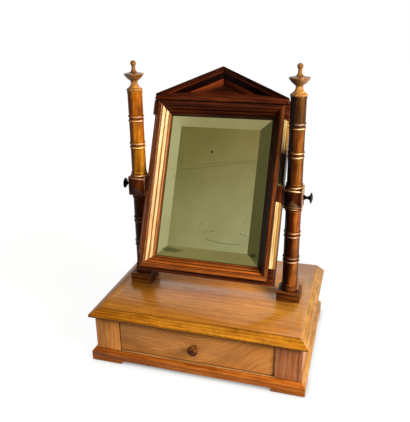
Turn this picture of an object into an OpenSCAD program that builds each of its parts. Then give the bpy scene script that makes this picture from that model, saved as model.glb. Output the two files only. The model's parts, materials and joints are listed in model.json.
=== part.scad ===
// Swing toilet mirror on a box base with one drawer.
// X is to the right, Y to the back and Z up. The origin is on the table, under the middle of the object.
// The mirror frame is drawn upright about its pivot, then tipped back to its rest angle.

/* [Box base] */
// Width of the top board over its edging
top_w = 420; // [380:1:480]
// Depth of the top board over its front edging
top_d = 310; // [280:1:350]
// Thickness of the top board
top_t = 15; // [13:0.5:20]
// Height of the box base, from the table to the face of the top board
base_h = 111.5; // [100:0.5:140]
// Width of the chamfered edging round the top board
edging_w = 16; // [10:0.5:22]
// Drop of the edging's chamfer
edging_drop = 10; // [4:0.5:11]
// Overhang of the top board past the carcase, at the front and sides
top_overhang = 9.7; // [6:0.1:14]
// Thickness of the carcase sides
side_t = 10; // [7:0.5:14]
// Thickness of the back panel
back_t = 8; // [5:0.5:12]
// Thickness of the bottom board
bottom_t = 8; // [5:0.5:10]
// Height of the feet
foot_h = 7; // [4:0.5:14]
// Length of each foot along the front
foot_l = 62; // [35:1:80]
// Depth of each foot
foot_d = 50; // [35:1:70]
// Height of the plinth moulding
plinth_h = 18; // [14:0.5:26]
// Projection of the plinth moulding from the carcase
plinth_out = 8.6; // [5:0.1:14]
// Rise of the plinth's sloped top
plinth_slope = 5; // [2:0.5:8]
// Radius of the small cove above the plinth's upright face
plinth_cove = 2.2; // [1:0.1:3]
// Side of the corner glue blocks
glue_block = 24; // [14:1:34]

/* [Drawer] */
// Width of the drawer opening
opening_w = 303; // [260:1:330]
// Thickness of the front stiles
stile_t = 18; // [12:0.5:24]
// Depth that the drawer front stands back from the stiles
front_recess = 3; // [0.5:0.5:6]
// Thickness of the drawer front
front_t = 18; // [12:0.5:22]
// Running gap round the drawer
drawer_gap = 0.6; // [0.3:0.1:1.2]
// Thickness of the drawer sides
drawer_side_t = 8; // [5:0.5:12]
// Drop of the drawer sides below the top of the front
drawer_side_drop = 5; // [2:0.5:12]
// Thickness of the drawer back
drawer_back_t = 7; // [5:0.5:12]
// Thickness of the drawer bottom
drawer_bottom_t = 4; // [3:0.5:6]
// Height of the drawer bottom above the lower edge of the sides
drawer_bottom_rise = 5; // [3:0.5:10]
// Depth of the groove that holds the drawer bottom
groove = 3; // [2:0.5:4]
// Number of dovetails at each front corner of the drawer
dovetails = 3; // [2:1:4]
// Thickness of the drawer front before the dovetails
dovetail_lap = 6; // [4:0.5:8]
// Length of the drawer stops
stop_l = 14; // [8:0.5:24]
// Height of the drawer guides, and height and width of the drawer stops
guide_s = 20; // [12:1:30]
// Diameter of the drawer knob
knob_d = 20; // [16:0.5:28]
// Reach of the knob from the drawer front
knob_l = 17; // [14:0.5:24]
// Depth of the knob below the middle of the drawer front
knob_low = 3; // [0:0.5:10]
// Diameter of the knob's dowel
knob_dowel_d = 8; // [6:0.5:10]

/* [Columns] */
// Distance between the two columns' centres
col_spacing = 308; // [290:1:330]
// Distance from the back edge of the top board to the columns' centres
col_from_back = 155; // [90:1:180]
// Width of the square base blocks
block_w = 45; // [40:0.5:52]
// Height of the square base blocks
block_h = 18.5; // [12:0.5:26]
// Chamfer round the top of the base blocks
block_chamfer = 1.2; // [0.5:0.1:4]
// Height of a column above its base block
col_h = 376.5; // [350:0.5:420]
// Height of the collar at the top of the column
top_collar_h = 4.8; // [3:0.2:7]
// Diameter of the shaft above its base
shaft_d_low = 30.4; // [26:0.2:33]
// Diameter of the shaft under its top collar
shaft_d_top = 28; // [24:0.2:31]
// Width of the square boss
boss_w = 34.5; // [33:0.5:36]
// Height of the square boss
boss_h = 37.5; // [32:0.5:46]
// Width of the flat border round the boss's face
boss_border = 2.4; // [1.5:0.1:4]
// Height and width of the chamfer between the border and the diamond point
boss_chamfer = 1.4; // [0.6:0.1:2.5]
// Rise of the diamond point above the chamfer
diamond_h = 4.2; // [2:0.1:7]
// Height of the pivot above the top board
pivot_h = 210.5; // [200:0.5:225]
// Radius of a turned bead
bead_r = 1.9; // [1.2:0.1:2.4]
// Spacing of the two beads in a pair
bead_gap = 8.4; // [6:0.2:12]
// Height above the base block of the first pair of beads
pair_low_1 = 67; // [40:1:80]
// Height above the base block of the second pair of beads
pair_low_2 = 119; // [100:1:130]
// Height above the boss of the third pair of beads
pair_up_1 = 62; // [30:1:80]
// Height above the boss of the fourth pair of beads
pair_up_2 = 114; // [100:1:130]
// Radius of the round collar at the foot of the column
foot_collar_r = 18.2; // [17:0.1:20]
// Height of the round collar at the foot of the column
foot_collar_h = 7.4; // [5:0.2:9]
// Radius of the collars against the boss
boss_collar_r = 17; // [16:0.1:17.5]
// Diameter of the pin that stands the column in the base
col_pin_d = 16; // [12:0.5:20]
// Depth of the pin in the top board
col_pin_in = 9; // [4:0.5:10]

/* [Finials] */
// Height of the finial
finial_h = 55.5; // [50:0.5:70]
// Radius of the finial's dish
dish_r = 18.9; // [15:0.1:20]
// Height of the dish's rim above the column
dish_z = 30.5; // [28:0.5:34]
// Radius of the finial's neck under the dish
neck_r = 6.5; // [5:0.1:8]
// Radius of the ball
ball_r = 5.5; // [4.5:0.1:7]
// Radius of the spire under the ball
spire_r = 3.6; // [2.4:0.1:4.4]
// Diameter of the dowel that holds the finial
finial_pin_d = 10; // [7:0.5:12]
// Length of the dowel that holds the finial
finial_pin_l = 14; // [8:0.5:20]

/* [Mirror frame] */
// Rest angle of the mirror, top tipped back
rest_tilt = 25.5; // [0:0.5:40]
// Height of the opening in the front moulding
sight_h = 279; // [240:1:290]
// Height of the opening's middle above the pivot
sight_up = 2.5; // [0:0.5:6]
// Depth of the glass edge's face in front of the pivot
glass_w = 4; // [2:0.5:6]
// Height of the front moulding in front of the glass
mould_h = 23.4; // [16:0.2:26]
// Width of the moulding's splay
splay_w = 16.5; // [12:0.5:20]
// Thickness of the moulding's lip over the glass
lip_t = 2.6; // [2:0.1:4]
// Width of the moulding's front flat
flat_w = 7.3; // [5:0.1:10]
// Height that the reeds stand out of the splay
reed_h = 1.3; // [0.6:0.1:1.8]
// Gap between two reeds
reed_quirk = 0.5; // [0.3:0.1:1]
// Width of the back frame outside the front moulding, at the sides
margin_w = 9; // [7:0.2:9.4]
// Width of the back frame below the front moulding
margin_low = 8; // [5:0.5:12]
// Height of the side strips in front of the glass edge's face, at their outer edge
strip_low = 8; // [5:0.5:10]
// Height of the side strips in front of the glass edge's face, at the moulding
strip_high = 20.5; // [14:0.5:22]
// Reach of the ears past the side of the frame
ear_out = 1.7; // [0.5:0.1:1.9]
// Height of the ears in front of the glass edge's face
ear_h = 20; // [12:0.5:22]
// Chamfer on the ears' outer corner
ear_chamfer = 3; // [1:0.5:5]
// Height of the bottom rail's raised face in front of the glass edge's face
low_ear_h = 12; // [8:0.5:18]
// Thickness of the back frame behind the glass edge's face
back_frame_t = 16; // [12:0.5:20]
// Rebate for the glass, on each side
rebate = 5; // [3:0.5:7]

/* [Pediment] */
// Rise of the pediment's apex over the ends of the cornice
pediment_rise = 57.5; // [40:0.5:70]
// Reach of the cornice past the side of the moulding
cornice_out = 6.2; // [3:0.1:8]
// Height of the cornice's face
cornice_h = 10.7; // [9:0.1:14]
// Rise of the cornice's weathered top
weather_h = 7.5; // [5:0.5:10]
// Reach of the cornice in front of the moulding
cornice_reach = 4.6; // [3:0.1:8]
// Fall-back of the cornice's weathered top
weather_w = 10; // [7:0.5:12]
// Width of the raking cornice
rake_w = 20; // [16:0.5:24]
// Width of the splay between the raking cornice and the sunk panel
rake_splay = 9; // [5:0.5:12]
// Depth of the tympanum's sunk panel in front of the pivot
panel_w = 13; // [8:0.5:16]
// Thickness of the tympanum board
tympanum_t = 18; // [10:0.5:22]

/* [Glass and back] */
// Thickness of the mirror glass
glass_t = 5; // [4:0.5:6]
// Width of the bevel
bevel_w = 26; // [15:0.5:30]
// Drop of the bevel
bevel_drop = 1.5; // [0.5:0.1:2.5]
// Gap between the glass and the wood round it
glass_gap = 0.8; // [0.4:0.1:1.5]
// Thickness of the backboard
backboard_t = 5; // [3:0.5:6]
// Number of backboard pins along each side
pins_side = 4; // [2:1:6]
// Number of backboard pins along the top and the bottom
pins_end = 3; // [2:1:5]
// Diameter of a backboard pin
pin_d = 1.6; // [1.2:0.1:2.2]
// Length of a backboard pin
pin_l = 14; // [8:0.5:16]

/* [Pivots] */
// Diameter of the thumbscrew's shank
shank_d = 6; // [4:0.1:7]
// Running clearance round the shank, on the radius
shank_gap = 0.05; // [0.03:0.01:0.08]
// Length of the shank inside the frame
shank_in = 18; // [12:0.5:22]
// Outside diameter of the brass bush in the boss
bush_d = 9; // [8:0.1:12]
// Diameter of the bush's flange
bush_flange_d = 10.6; // [9.5:0.1:14]
// Thickness of the bush's flange
bush_flange_t = 1; // [0.6:0.1:2]
// Diameter of the thumbscrew's head
head_d = 20.6; // [16:0.2:26]
// Reach of the thumbscrew from the boss
head_reach = 17.4; // [14:0.2:22]
// Diameter of the thumbscrew's collar
collar_d = 9.4; // [8:0.1:11]
// Height of the pivot block along the frame
pivot_block_h = 30; // [24:1:36]
// Thickness of the pivot block's lap over the side of the frame
pivot_lap = 1.6; // [1.4:0.1:2.5]
// Thickness of the pivot washer
washer_t = 1; // [0.5:0.1:1.2]
// Diameter of the pivot washer
washer_d = 18; // [14:0.5:22]
// Gap between the washer and the boss
washer_gap = 0.35; // [0.2:0.05:0.6]
// Reach of the pivot block in front of the pivot
pivot_block_w = 17; // [12:0.5:20]
// Thickness of the nut plate
nut_t = 3; // [2:0.5:4]
// Height of the nut plate
nut_h = 22; // [18:0.5:24]
// Width of the nut plate
nut_w = 12; // [9:0.5:14]

/* [Hidden] */
$fn = 48;

left = -1;
right = 1;
// A cut runs this far past the wood that it cuts
over = 1;

// Places of the box base
knob_past_top = max(0, knob_l - front_recess - top_overhang);
back_y = (top_d + knob_past_top) / 2;
top_front_y = back_y - top_d;
body_front_y = top_front_y + top_overhang;
body_half = top_w / 2 - top_overhang;
top_z = base_h;
under_z = base_h - top_t;
plinth_z = foot_h + plinth_h;
floor_z = plinth_z;
board_z = floor_z - bottom_t;
panel_half = top_w / 2 - edging_w;
panel_front_y = top_front_y + edging_w;
plinth_half = body_half + plinth_out;
plinth_front_y = body_front_y - plinth_out;
opening_half = opening_w / 2;
stile_back_y = body_front_y + stile_t;
back_in_y = back_y - back_t;
side_in = body_half - side_t;

// Places of the drawer
drawer_face_y = body_front_y + front_recess;
drawer_front_back_y = drawer_face_y + front_t;
drawer_back_y = back_in_y - stop_l;
drawer_half = opening_half - drawer_gap;
drawer_low_z = floor_z + drawer_gap;
drawer_high_z = under_z - drawer_gap;
drawer_side_high_z = drawer_high_z - drawer_side_drop;
drawer_board_z = drawer_low_z + drawer_bottom_rise;
knob_z = (drawer_low_z + drawer_high_z) / 2 - knob_low;
dovetail_l = front_t - dovetail_lap;

// Places of the columns
col_x = col_spacing / 2;
col_y = back_y - col_from_back;
col_foot_z = top_z + block_h;
col_head_z = col_foot_z + col_h;
pivot_z = top_z + pivot_h;
boss_low_z = pivot_z - boss_h / 2;
boss_high_z = pivot_z + boss_h / 2;
boss_in_x = col_x - boss_w / 2;
boss_out_x = col_x + boss_w / 2;
pin_fit = 0.05;
screw_d = 4;
screw_head_d = 8;
screw_in = 14;

// Places of the mirror frame, measured from the pivot
pivot_face = boss_in_x - washer_gap - washer_t;
frame_half = pivot_face - pivot_lap;
mould_half = frame_half - margin_w;
mould_w = splay_w + flat_w;
sight_half = mould_half - mould_w;
sight_w = 2 * sight_half;
sight_low = sight_up - sight_h / 2;
sight_high = sight_up + sight_h / 2;
mould_low = sight_low - mould_w;
mould_high = sight_high + mould_w;
front_w = glass_w + mould_h;
frame_low = mould_low - margin_low;
back_w = glass_w - back_frame_t;
ear_x = frame_half + ear_out;
ear_low = sight_high - 4;
cornice_up = mould_high;
cornice_w = front_w + cornice_reach;
cornice_back_w = cornice_w - weather_w;
rake_end_up = cornice_up + cornice_h;
cornice_top_up = rake_end_up + weather_h;
apex_up = rake_end_up + pediment_rise;
pediment_half = mould_half + cornice_out;
rake_angle = atan(pediment_rise / pediment_half);
rail_high = rake_end_up - 1.5;
glass_half = sight_half + rebate - glass_gap;
glass_low = sight_low - rebate + glass_gap;
glass_high = sight_high + rebate - glass_gap;
glass_edge_w = glass_w - (rebate - glass_gap) * bevel_drop / bevel_w;
glass_face_w = glass_edge_w + bevel_drop;
glass_back_w = glass_face_w - glass_t;
nut_x = frame_half - nut_t;
nut_mid_w = (glass_w - nut_w / 2) / 2;
nut_screw_z = nut_h / 2 - 3;
nut_screw_d = 2.4;
nut_screw_l = 8;

// A block between two corners
module block(x0, x1, y0, y1, z0, z1) {
    translate([x0, y0, z0]) cube([x1 - x0, y1 - y0, z1 - z0]);
}

// A block on one side of the middle, from an inner to an outer distance
module side_block(side, x0, x1, y0, y1, z0, z1) {
    if (side > 0) block(x0, x1, y0, y1, z0, z1);
    else block(-x1, -x0, y0, y1, z0, z1);
}

// A block of the mirror frame: depths are measured forward from the pivot
module slab(x0, x1, z0, z1, w0, w1) {
    block(x0, x1, -w1, -w0, z0, z1);
}

module side_slab(side, x0, x1, z0, z1, w0, w1) {
    side_block(side, x0, x1, -w1, -w0, z0, z1);
}

// Draws its children in the mirror frame, about the pivot and tipped to the rest angle
module on_frame() {
    translate([0, col_y, pivot_z]) rotate([-rest_tilt, 0, 0]) children();
}

// An outline in Y and Z, run along X about the middle
module run_x(length) {
    rotate([90, 0, 90]) linear_extrude(length, center = true) children();
}

// An outline in X and Z, run along Y from front to back
module run_y(y0, y1) {
    translate([0, y1, 0]) rotate([90, 0, 0]) linear_extrude(y1 - y0) children();
}

// A rod along X, drawn outward on one side from an inner to an outer distance
module side_rod(side, x0, x1, d) {
    if (side > 0) translate([x0, 0, 0]) rotate([0, 90, 0]) cylinder(d = d, h = x1 - x0);
    else translate([-x1, 0, 0]) rotate([0, 90, 0]) cylinder(d = d, h = x1 - x0);
}

// Box base

module top_panel() {
    color("peru") difference() {
        block(-panel_half, panel_half, panel_front_y, back_y, under_z, top_z);
        for (side = [left, right]) translate([side * col_x, col_y, 0]) {
            translate([0, 0, top_z - col_pin_in])
                cylinder(d = col_pin_d + 2 * pin_fit, h = col_pin_in + over);
            translate([0, 0, under_z - over]) cylinder(d = screw_d + 2 * pin_fit, h = top_t);
        }
    }
}

// The edging's section: distance out from the panel, and height
module edging_section() {
    polygon([[0, under_z], [edging_w, under_z], [edging_w, top_z - edging_drop], [0, top_z]]);
}

module top_edging_front() {
    color("chocolate") intersection() {
        translate([0, panel_front_y, 0]) mirror([0, 1, 0]) run_x(top_w) edging_section();
        linear_extrude(top_z + over) polygon([
            [-top_w / 2, top_front_y], [top_w / 2, top_front_y],
            [panel_half, panel_front_y], [-panel_half, panel_front_y]]);
    }
}

module top_edging_side(side) {
    color("chocolate") mirror([side < 0 ? 1 : 0, 0, 0]) intersection() {
        translate([panel_half, 0, 0]) run_y(top_front_y, back_y) edging_section();
        linear_extrude(top_z + over) polygon([
            [panel_half, panel_front_y], [top_w / 2, top_front_y],
            [top_w / 2, back_y], [panel_half, back_y]]);
    }
}

module side_panel(side) {
    color("sienna") side_block(side, side_in, body_half, stile_back_y, back_y, floor_z, under_z);
}

module back_panel() {
    color("burlywood") block(-side_in, side_in, back_in_y, back_y, floor_z, under_z);
}

module bottom_board() {
    color("burlywood") block(-body_half, body_half, body_front_y, back_y, board_z, floor_z);
}

module front_stile(side) {
    color("sienna") side_block(side, opening_half, body_half, body_front_y, stile_back_y, floor_z, under_z);
}

// The plinth's section: distance out from the carcase, and height
module plinth_section() {
    difference() {
        polygon([
            [0, foot_h], [plinth_out, foot_h], [plinth_out, plinth_z - plinth_slope],
            [plinth_out - plinth_cove, plinth_z - plinth_slope + plinth_cove / 2],
            [1, plinth_z], [0, plinth_z]]);
        translate([plinth_out + plinth_cove / 3, plinth_z - plinth_slope + plinth_cove / 2])
            circle(r = plinth_cove);
    }
}

module plinth_front() {
    color("chocolate") intersection() {
        translate([0, body_front_y, 0]) mirror([0, 1, 0]) run_x(2 * plinth_half) plinth_section();
        linear_extrude(plinth_z + over) polygon([
            [-plinth_half, plinth_front_y], [plinth_half, plinth_front_y],
            [body_half, body_front_y], [-body_half, body_front_y]]);
    }
}

module plinth_side(side) {
    color("chocolate") mirror([side < 0 ? 1 : 0, 0, 0]) intersection() {
        translate([body_half, 0, 0]) run_y(plinth_front_y, back_y) plinth_section();
        linear_extrude(plinth_z + over) polygon([
            [body_half, body_front_y], [plinth_half, plinth_front_y],
            [plinth_half, back_y], [body_half, back_y]]);
    }
}

// A foot is a plain block under a corner
module foot(side, at_back) {
    y0 = at_back ? back_y - foot_d : plinth_front_y;
    color("saddlebrown") side_block(side, plinth_half - foot_l, plinth_half, y0, y0 + foot_d, 0, foot_h);
}

module glue_blocks() {
    color("burlywood") for (side = [left, right]) {
        for (y0 = [body_front_y, back_y - glue_block])
            side_block(side, body_half - glue_block, body_half, y0, y0 + glue_block, foot_h, board_z);
    }
}

// A guide fills the space between the drawer and the carcase side
module drawer_guide(side) {
    color("burlywood") side_block(side, opening_half, side_in,
        stile_back_y, back_in_y, floor_z, floor_z + guide_s);
}

module drawer_stops() {
    stop_x = opening_half / 2;
    color("burlywood") for (side = [left, right])
        side_block(side, stop_x, stop_x + guide_s, drawer_back_y, back_in_y, floor_z, floor_z + guide_s);
}

// Columns

// A base block seen from one side, with its top edges chamfered
module base_block_face() {
    half = block_w / 2;
    polygon([[-half, 0], [half, 0], [half, block_h - block_chamfer], [half - block_chamfer, block_h],
        [-half + block_chamfer, block_h], [-half, block_h - block_chamfer]]);
}

module base_block(side) {
    color("saddlebrown") translate([side * col_x, col_y, top_z]) difference() {
        intersection() {
            run_x(block_w) base_block_face();
            rotate([0, 0, 90]) run_x(block_w) base_block_face();
        }
        translate([0, 0, -over]) cylinder(d = col_pin_d + 2 * pin_fit, h = block_h + 2 * over);
    }
}

// Radius of the shaft at a height above the base block
function shaft_r(z) = (shaft_d_low + (shaft_d_top - shaft_d_low) * z / col_h) / 2;

// A bead on the shaft, as half an outline
module shaft_bead(z) {
    translate([shaft_r(z) - bead_r / 5, z]) circle(r = bead_r);
}

// A collar round the shaft, as half an outline with a round edge
module collar_outline(z, r, h) {
    translate([0, z]) square([r - h / 2, h]);
    translate([r - h / 2, z + h / 2]) circle(d = h);
}

// Half the outline of the turned column, from the base block up
module column_outline() {
    boss_low = boss_low_z - col_foot_z;
    boss_high = boss_high_z - col_foot_z;
    collar_h = 3.6;
    polygon([[0, 0], [shaft_r(0), 0], [shaft_r(col_h), col_h], [0, col_h]]);
    collar_outline(0, foot_collar_r, foot_collar_h);
    square([shaft_r(0) + 1, foot_collar_h + 1.6]);
    for (z = [pair_low_1, pair_low_2, boss_high + pair_up_1, boss_high + pair_up_2]) {
        shaft_bead(z - bead_gap / 2);
        shaft_bead(z + bead_gap / 2);
    }
    shaft_bead(foot_collar_h + bead_r + 2.2);
    collar_outline(boss_low - collar_h, boss_collar_r, collar_h);
    shaft_bead(boss_low - collar_h - 3.2);
    collar_outline(boss_high, boss_collar_r, collar_h);
    shaft_bead(boss_high + collar_h + 3.2);
    collar_outline(col_h - top_collar_h, shaft_r(col_h) + 0.9, top_collar_h);
}

// Half the roof over the boss's face: a chamfer at each edge, then two slopes that meet in a ridge
module diamond_roof(w) {
    polygon([[0, -w / 2], [-boss_chamfer, -w / 2 + boss_chamfer], [-boss_chamfer - diamond_h, 0],
        [-boss_chamfer, w / 2 - boss_chamfer], [0, w / 2]]);
}

// A diamond point that stands forward, where two roofs cross
module diamond(w, h) {
    intersection() {
        run_x(w + over) diamond_roof(h);
        rotate([0, 90, 0]) run_x(h + over) diamond_roof(w);
    }
}

// The square boss about its middle, with a diamond point at the front and the back
module boss() {
    cube([boss_w, boss_w, boss_h], center = true);
    for (turn = [0, 180]) rotate([0, 0, turn]) translate([0, -boss_w / 2, 0])
        diamond(boss_w - 2 * boss_border, boss_h - 2 * boss_border);
}

module column(side) {
    pin_l = block_h + col_pin_in;
    color("sienna") translate([side * col_x, col_y, 0]) difference() {
        union() {
            translate([0, 0, col_foot_z]) rotate_extrude() column_outline();
            translate([0, 0, pivot_z]) boss();
            translate([0, 0, col_foot_z - pin_l]) cylinder(d = col_pin_d, h = pin_l + over);
        }
        translate([0, 0, pivot_z]) rotate([0, 90, 0])
            cylinder(d = bush_d + 2 * pin_fit, h = boss_w + 2 * over, center = true);
        translate([0, 0, col_head_z - finial_pin_l])
            cylinder(d = finial_pin_d + 2 * pin_fit, h = finial_pin_l + over);
        translate([0, 0, col_foot_z - pin_l - over])
            cylinder(d = screw_d + 2 * pin_fit, h = screw_in + over);
    }
}

// A circle through two points, that stands a rise out of the line between them on its right
module bulge(p, q, rise) {
    chord = norm(q - p);
    r = (chord * chord / 4 + rise * rise) / (2 * rise);
    along = (q - p) / chord;
    translate((p + q) / 2 + [along[1], -along[0]] * (rise - r)) circle(r = r);
}

// Half the outline of the finial's foot: a bead, a step and a hollow up to the neck
module finial_foot(ring_z) {
    bead = 2.2;
    step_r = 13;
    hollow = 10.9;
    translate([step_r + 0.5, bead]) circle(r = bead);
    square([step_r + 0.5, 2 * bead]);
    difference() {
        square([step_r, ring_z]);
        translate([neck_r + hollow, dish_z / 2]) circle(r = hollow);
    }
}

// Half the outline of the finial's dish: a bowl, a thin rim and a top that sweeps up to the spire
module finial_dish(ring_z) {
    rim = 0.7;
    sweep = 8;
    sweep_z = dish_z + 2.6;
    intersection() {
        bulge([neck_r + 1, ring_z], [dish_r, dish_z], 1.2);
        polygon([
            [0, ring_z], [dish_r, ring_z], [dish_r, dish_z + rim], [dish_r - rim, dish_z + 2 * rim],
            [spire_r + sweep, sweep_z], [0, sweep_z]]);
    }
    difference() {
        translate([0, sweep_z - 0.1]) square([spire_r + sweep, sweep]);
        translate([spire_r + sweep, sweep_z + sweep]) circle(r = sweep);
    }
}

// Half the outline of the finial above the column
module finial_outline() {
    ball_z = finial_h - ball_r;
    ring_z = dish_z - 11.9;
    finial_foot(ring_z);
    translate([neck_r + 0.4, ring_z]) circle(r = 0.9);
    finial_dish(ring_z);
    square([spire_r, ball_z]);
    intersection() {
        translate([0, ball_z]) circle(r = ball_r);
        translate([0, ball_z - ball_r]) square(2 * ball_r);
    }
}

module finial(side) {
    color("goldenrod") translate([side * col_x, col_y, col_head_z]) {
        rotate_extrude() finial_outline();
        translate([0, 0, -finial_pin_l + 0.5]) cylinder(d = finial_pin_d, h = finial_pin_l);
    }
}

module boss_bushes() {
    color("gold") for (side = [left, right]) translate([0, col_y, pivot_z]) difference() {
        union() {
            side_rod(side, boss_in_x, boss_out_x + bush_flange_t, bush_d);
            side_rod(side, boss_out_x, boss_out_x + bush_flange_t, bush_flange_d);
        }
        side_rod(side, boss_in_x - over, boss_out_x + bush_flange_t + over, shank_d + 2 * shank_gap);
    }
}

// A round-headed screw from below, through the top board into the column's pin
module column_screws() {
    shank_l = top_t - col_pin_in + screw_in - 1;
    color("dimgray") for (side = [left, right]) translate([side * col_x, col_y, under_z]) {
        cylinder(d = screw_d, h = shank_l);
        translate([0, 0, -2]) cylinder(d1 = screw_head_d - 2, d2 = screw_head_d, h = 2);
    }
}

// Mirror frame

// The top rail, with an ear at each end that stands forward beside the moulding
module back_rail_top() {
    color("saddlebrown") on_frame() difference() {
        union() {
            slab(-ear_x, ear_x, sight_high + rebate, rail_high, back_w, glass_w);
            slab(-ear_x, ear_x, cornice_up, rail_high, glass_w, panel_w);
            for (side = [left, right]) mirror([side < 0 ? 1 : 0, 0, 0]) translate([0, 0, ear_low])
                linear_extrude(cornice_up - ear_low) polygon([
                    [mould_half, -glass_w], [mould_half, -glass_w - ear_h],
                    [ear_x - ear_chamfer, -glass_w - ear_h], [ear_x, -glass_w - ear_h + ear_chamfer],
                    [ear_x, -glass_w]]);
        }
        pin_holes();
    }
}

// The bottom rail, with a raised face round the ends of the moulding
module back_rail_bottom() {
    color("saddlebrown") on_frame() difference() {
        union() {
            slab(-frame_half, frame_half, frame_low, sight_low - rebate, back_w, glass_w);
            difference() {
                slab(-frame_half, frame_half, frame_low, sight_low, glass_w, glass_w + low_ear_h);
                slab(-mould_half, mould_half, mould_low, sight_low + over, glass_w - over, front_w);
            }
        }
        pin_holes();
    }
}

// A stile between the rails, with its nut plate's recess and bores
module back_stile(side) {
    color("saddlebrown") on_frame() difference() {
        side_slab(side, sight_half + rebate, frame_half,
            sight_low - rebate, sight_high + rebate, back_w, glass_w);
        side_slab(side, nut_x, frame_half + over, -nut_h / 2, nut_h / 2, -nut_w / 2, glass_w + over);
        side_rod(side, pivot_face - shank_in - 2, frame_half, shank_d + 1);
        at_nut_screws() side_rod(side, nut_x - nut_screw_l - 0.5, nut_x + over, nut_screw_d + 2 * pin_fit);
        pin_holes();
    }
}

// Shares of the splay that the reeds take, from the glass outward
reed_shares = [0.2, 0.33, 0.33, 0.14];
function reed_start(i) = i == 0 ? 0 : reed_start(i - 1) + reed_shares[i - 1];

// The front moulding's section: forward is -Y and outward is -Z
module mould_section() {
    foot = [-glass_w - lip_t, 0];
    crest = [-front_w, -splay_w];
    slope = crest - foot;
    quirk = reed_quirk / 2 / norm(slope);
    polygon([
        [-glass_w, 0], foot, crest,
        [-front_w, -mould_w + 1], [-front_w + 1, -mould_w], [-glass_w, -mould_w]]);
    for (i = [0 : len(reed_shares) - 1]) intersection() {
        bulge(foot + slope * (reed_start(i) + quirk), foot + slope * (reed_start(i + 1) - quirk), reed_h);
        polygon([[-front_w, 0], crest, [-glass_w, -mould_w], [-glass_w, 0]]);
    }
}

// One side of the mitred front moulding, along X with the opening above it
module mould_piece(length) {
    intersection() {
        run_x(length + 2 * mould_w) mould_section();
        rotate([90, 0, 0]) linear_extrude(2 * front_w, center = true) polygon([
            [-length / 2, 0], [length / 2, 0],
            [length / 2 + mould_w, -mould_w], [-length / 2 - mould_w, -mould_w]]);
    }
}

module moulding_top() {
    color("brown") on_frame() translate([0, 0, sight_high]) rotate([0, 180, 0]) mould_piece(sight_w);
}

module moulding_bottom() {
    color("brown") on_frame() translate([0, 0, sight_low]) mould_piece(sight_w);
}

module moulding_side(side) {
    color("brown") on_frame() translate([side * sight_half, 0, sight_up]) rotate([0, -side * 90, 0])
        mould_piece(sight_h);
}

// The reeded strip beside the moulding, in two lengths with the pivot block between them
module side_reeds(side) {
    low = [mould_half, -glass_w - strip_high];
    high = [frame_half, -glass_w - strip_low];
    slope = high - low;
    count = 3;
    rise = norm(slope) / count / 4;
    quirk = reed_quirk / 2 / norm(slope);
    color("peru") on_frame() mirror([side < 0 ? 1 : 0, 0, 0])
        for (ends = [[sight_low, -pivot_block_h / 2], [pivot_block_h / 2, ear_low]])
            translate([0, 0, ends[0]]) linear_extrude(ends[1] - ends[0]) {
                polygon([[mould_half, -glass_w], low, high, [frame_half, -glass_w]]);
                for (i = [0 : count - 1]) intersection() {
                    bulge(low + slope * (i / count + quirk), low + slope * ((i + 1) / count - quirk), rise);
                    translate([mould_half, -front_w]) square([margin_w, mould_h]);
                }
            }
}

// The board behind the pediment's mouldings
module tympanum() {
    color("saddlebrown") on_frame() run_y(-panel_w, tympanum_t - panel_w) polygon([
        [-pediment_half, rail_high], [-pediment_half, rake_end_up], [0, apex_up],
        [pediment_half, rake_end_up], [pediment_half, rail_high]]);
}

// The line of the cornice's weathered top, from its front up to the tympanum: forward is -Y
weather_front = [-cornice_w + 3, rake_end_up];
weather_back = [-cornice_back_w, cornice_top_up];

// The horizontal cornice's section, with a fillet, a cove and a weathered top
module cornice_section() {
    fillet_h = 2.6;
    cove_r = 6;
    difference() {
        polygon([
            [-panel_w, cornice_up], [-cornice_w, cornice_up], [-cornice_w, cornice_up + fillet_h],
            [-cornice_w + 0.8, cornice_up + fillet_h], [-cornice_w + 1.6, rake_end_up - 3],
            weather_front, weather_back, [-panel_w, cornice_top_up]]);
        translate([-cornice_w - cove_r + 2.6, (cornice_up + fillet_h + rake_end_up) / 2]) circle(r = cove_r);
    }
}

module cornice() {
    color("brown") on_frame() intersection() {
        run_x(2 * pediment_half) cornice_section();
        run_y(-2 * cornice_w, 0) polygon([
            [-pediment_half, cornice_up], [pediment_half, cornice_up], [pediment_half, rake_end_up],
            [0, apex_up], [-pediment_half, rake_end_up]]);
    }
}

// The raking cornice's section: forward is -Y and inward from the raking edge is -Z
module rake_section() {
    cove_r = 9;
    difference() {
        polygon([
            [-panel_w, 0], [-cornice_w, 0], [-cornice_w, -3.2], [-cornice_w + 1.4, -3.2],
            [-cornice_w + 4, -8.4], [-cornice_w + 3.2, -8.4], [-cornice_w + 3.2, -10],
            [-cornice_w + 5, -10], [-cornice_back_w, -rake_w], [-panel_w, -rake_w - rake_splay]]);
        translate([-cornice_w - 2.6, -14.4]) circle(r = cove_r);
    }
}

// Half of the raking cornice, cut to stand on the weathered top of the cornice
module raking_cornice(side) {
    end_cut = 0.6;
    length = pediment_half / cos(rake_angle) + 2 * rake_w;
    color("saddlebrown") on_frame() mirror([side < 0 ? 1 : 0, 0, 0]) difference() {
        intersection() {
            translate([0, 0, apex_up]) rotate([0, rake_angle, 0]) run_x(2 * length) rake_section();
            slab(0, pediment_half - end_cut, rake_end_up, apex_up, 0, cornice_w + over);
        }
        run_x(2 * pediment_half) polygon([
            weather_front, weather_back, [-panel_w + over, cornice_top_up],
            [-panel_w + over, rake_end_up - over], [weather_front[0], rake_end_up - over]]);
    }
}

// The glass with its bevel, face forward: the bevel bears on the moulding's inner edge
module mirror_glass() {
    color("lightgray") on_frame() intersection() {
        run_x(2 * glass_half) bevel_section(glass_low, glass_high);
        rotate([0, 90, 0]) run_x(2 * apex_up) bevel_section(-glass_half, glass_half);
    }
}

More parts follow.
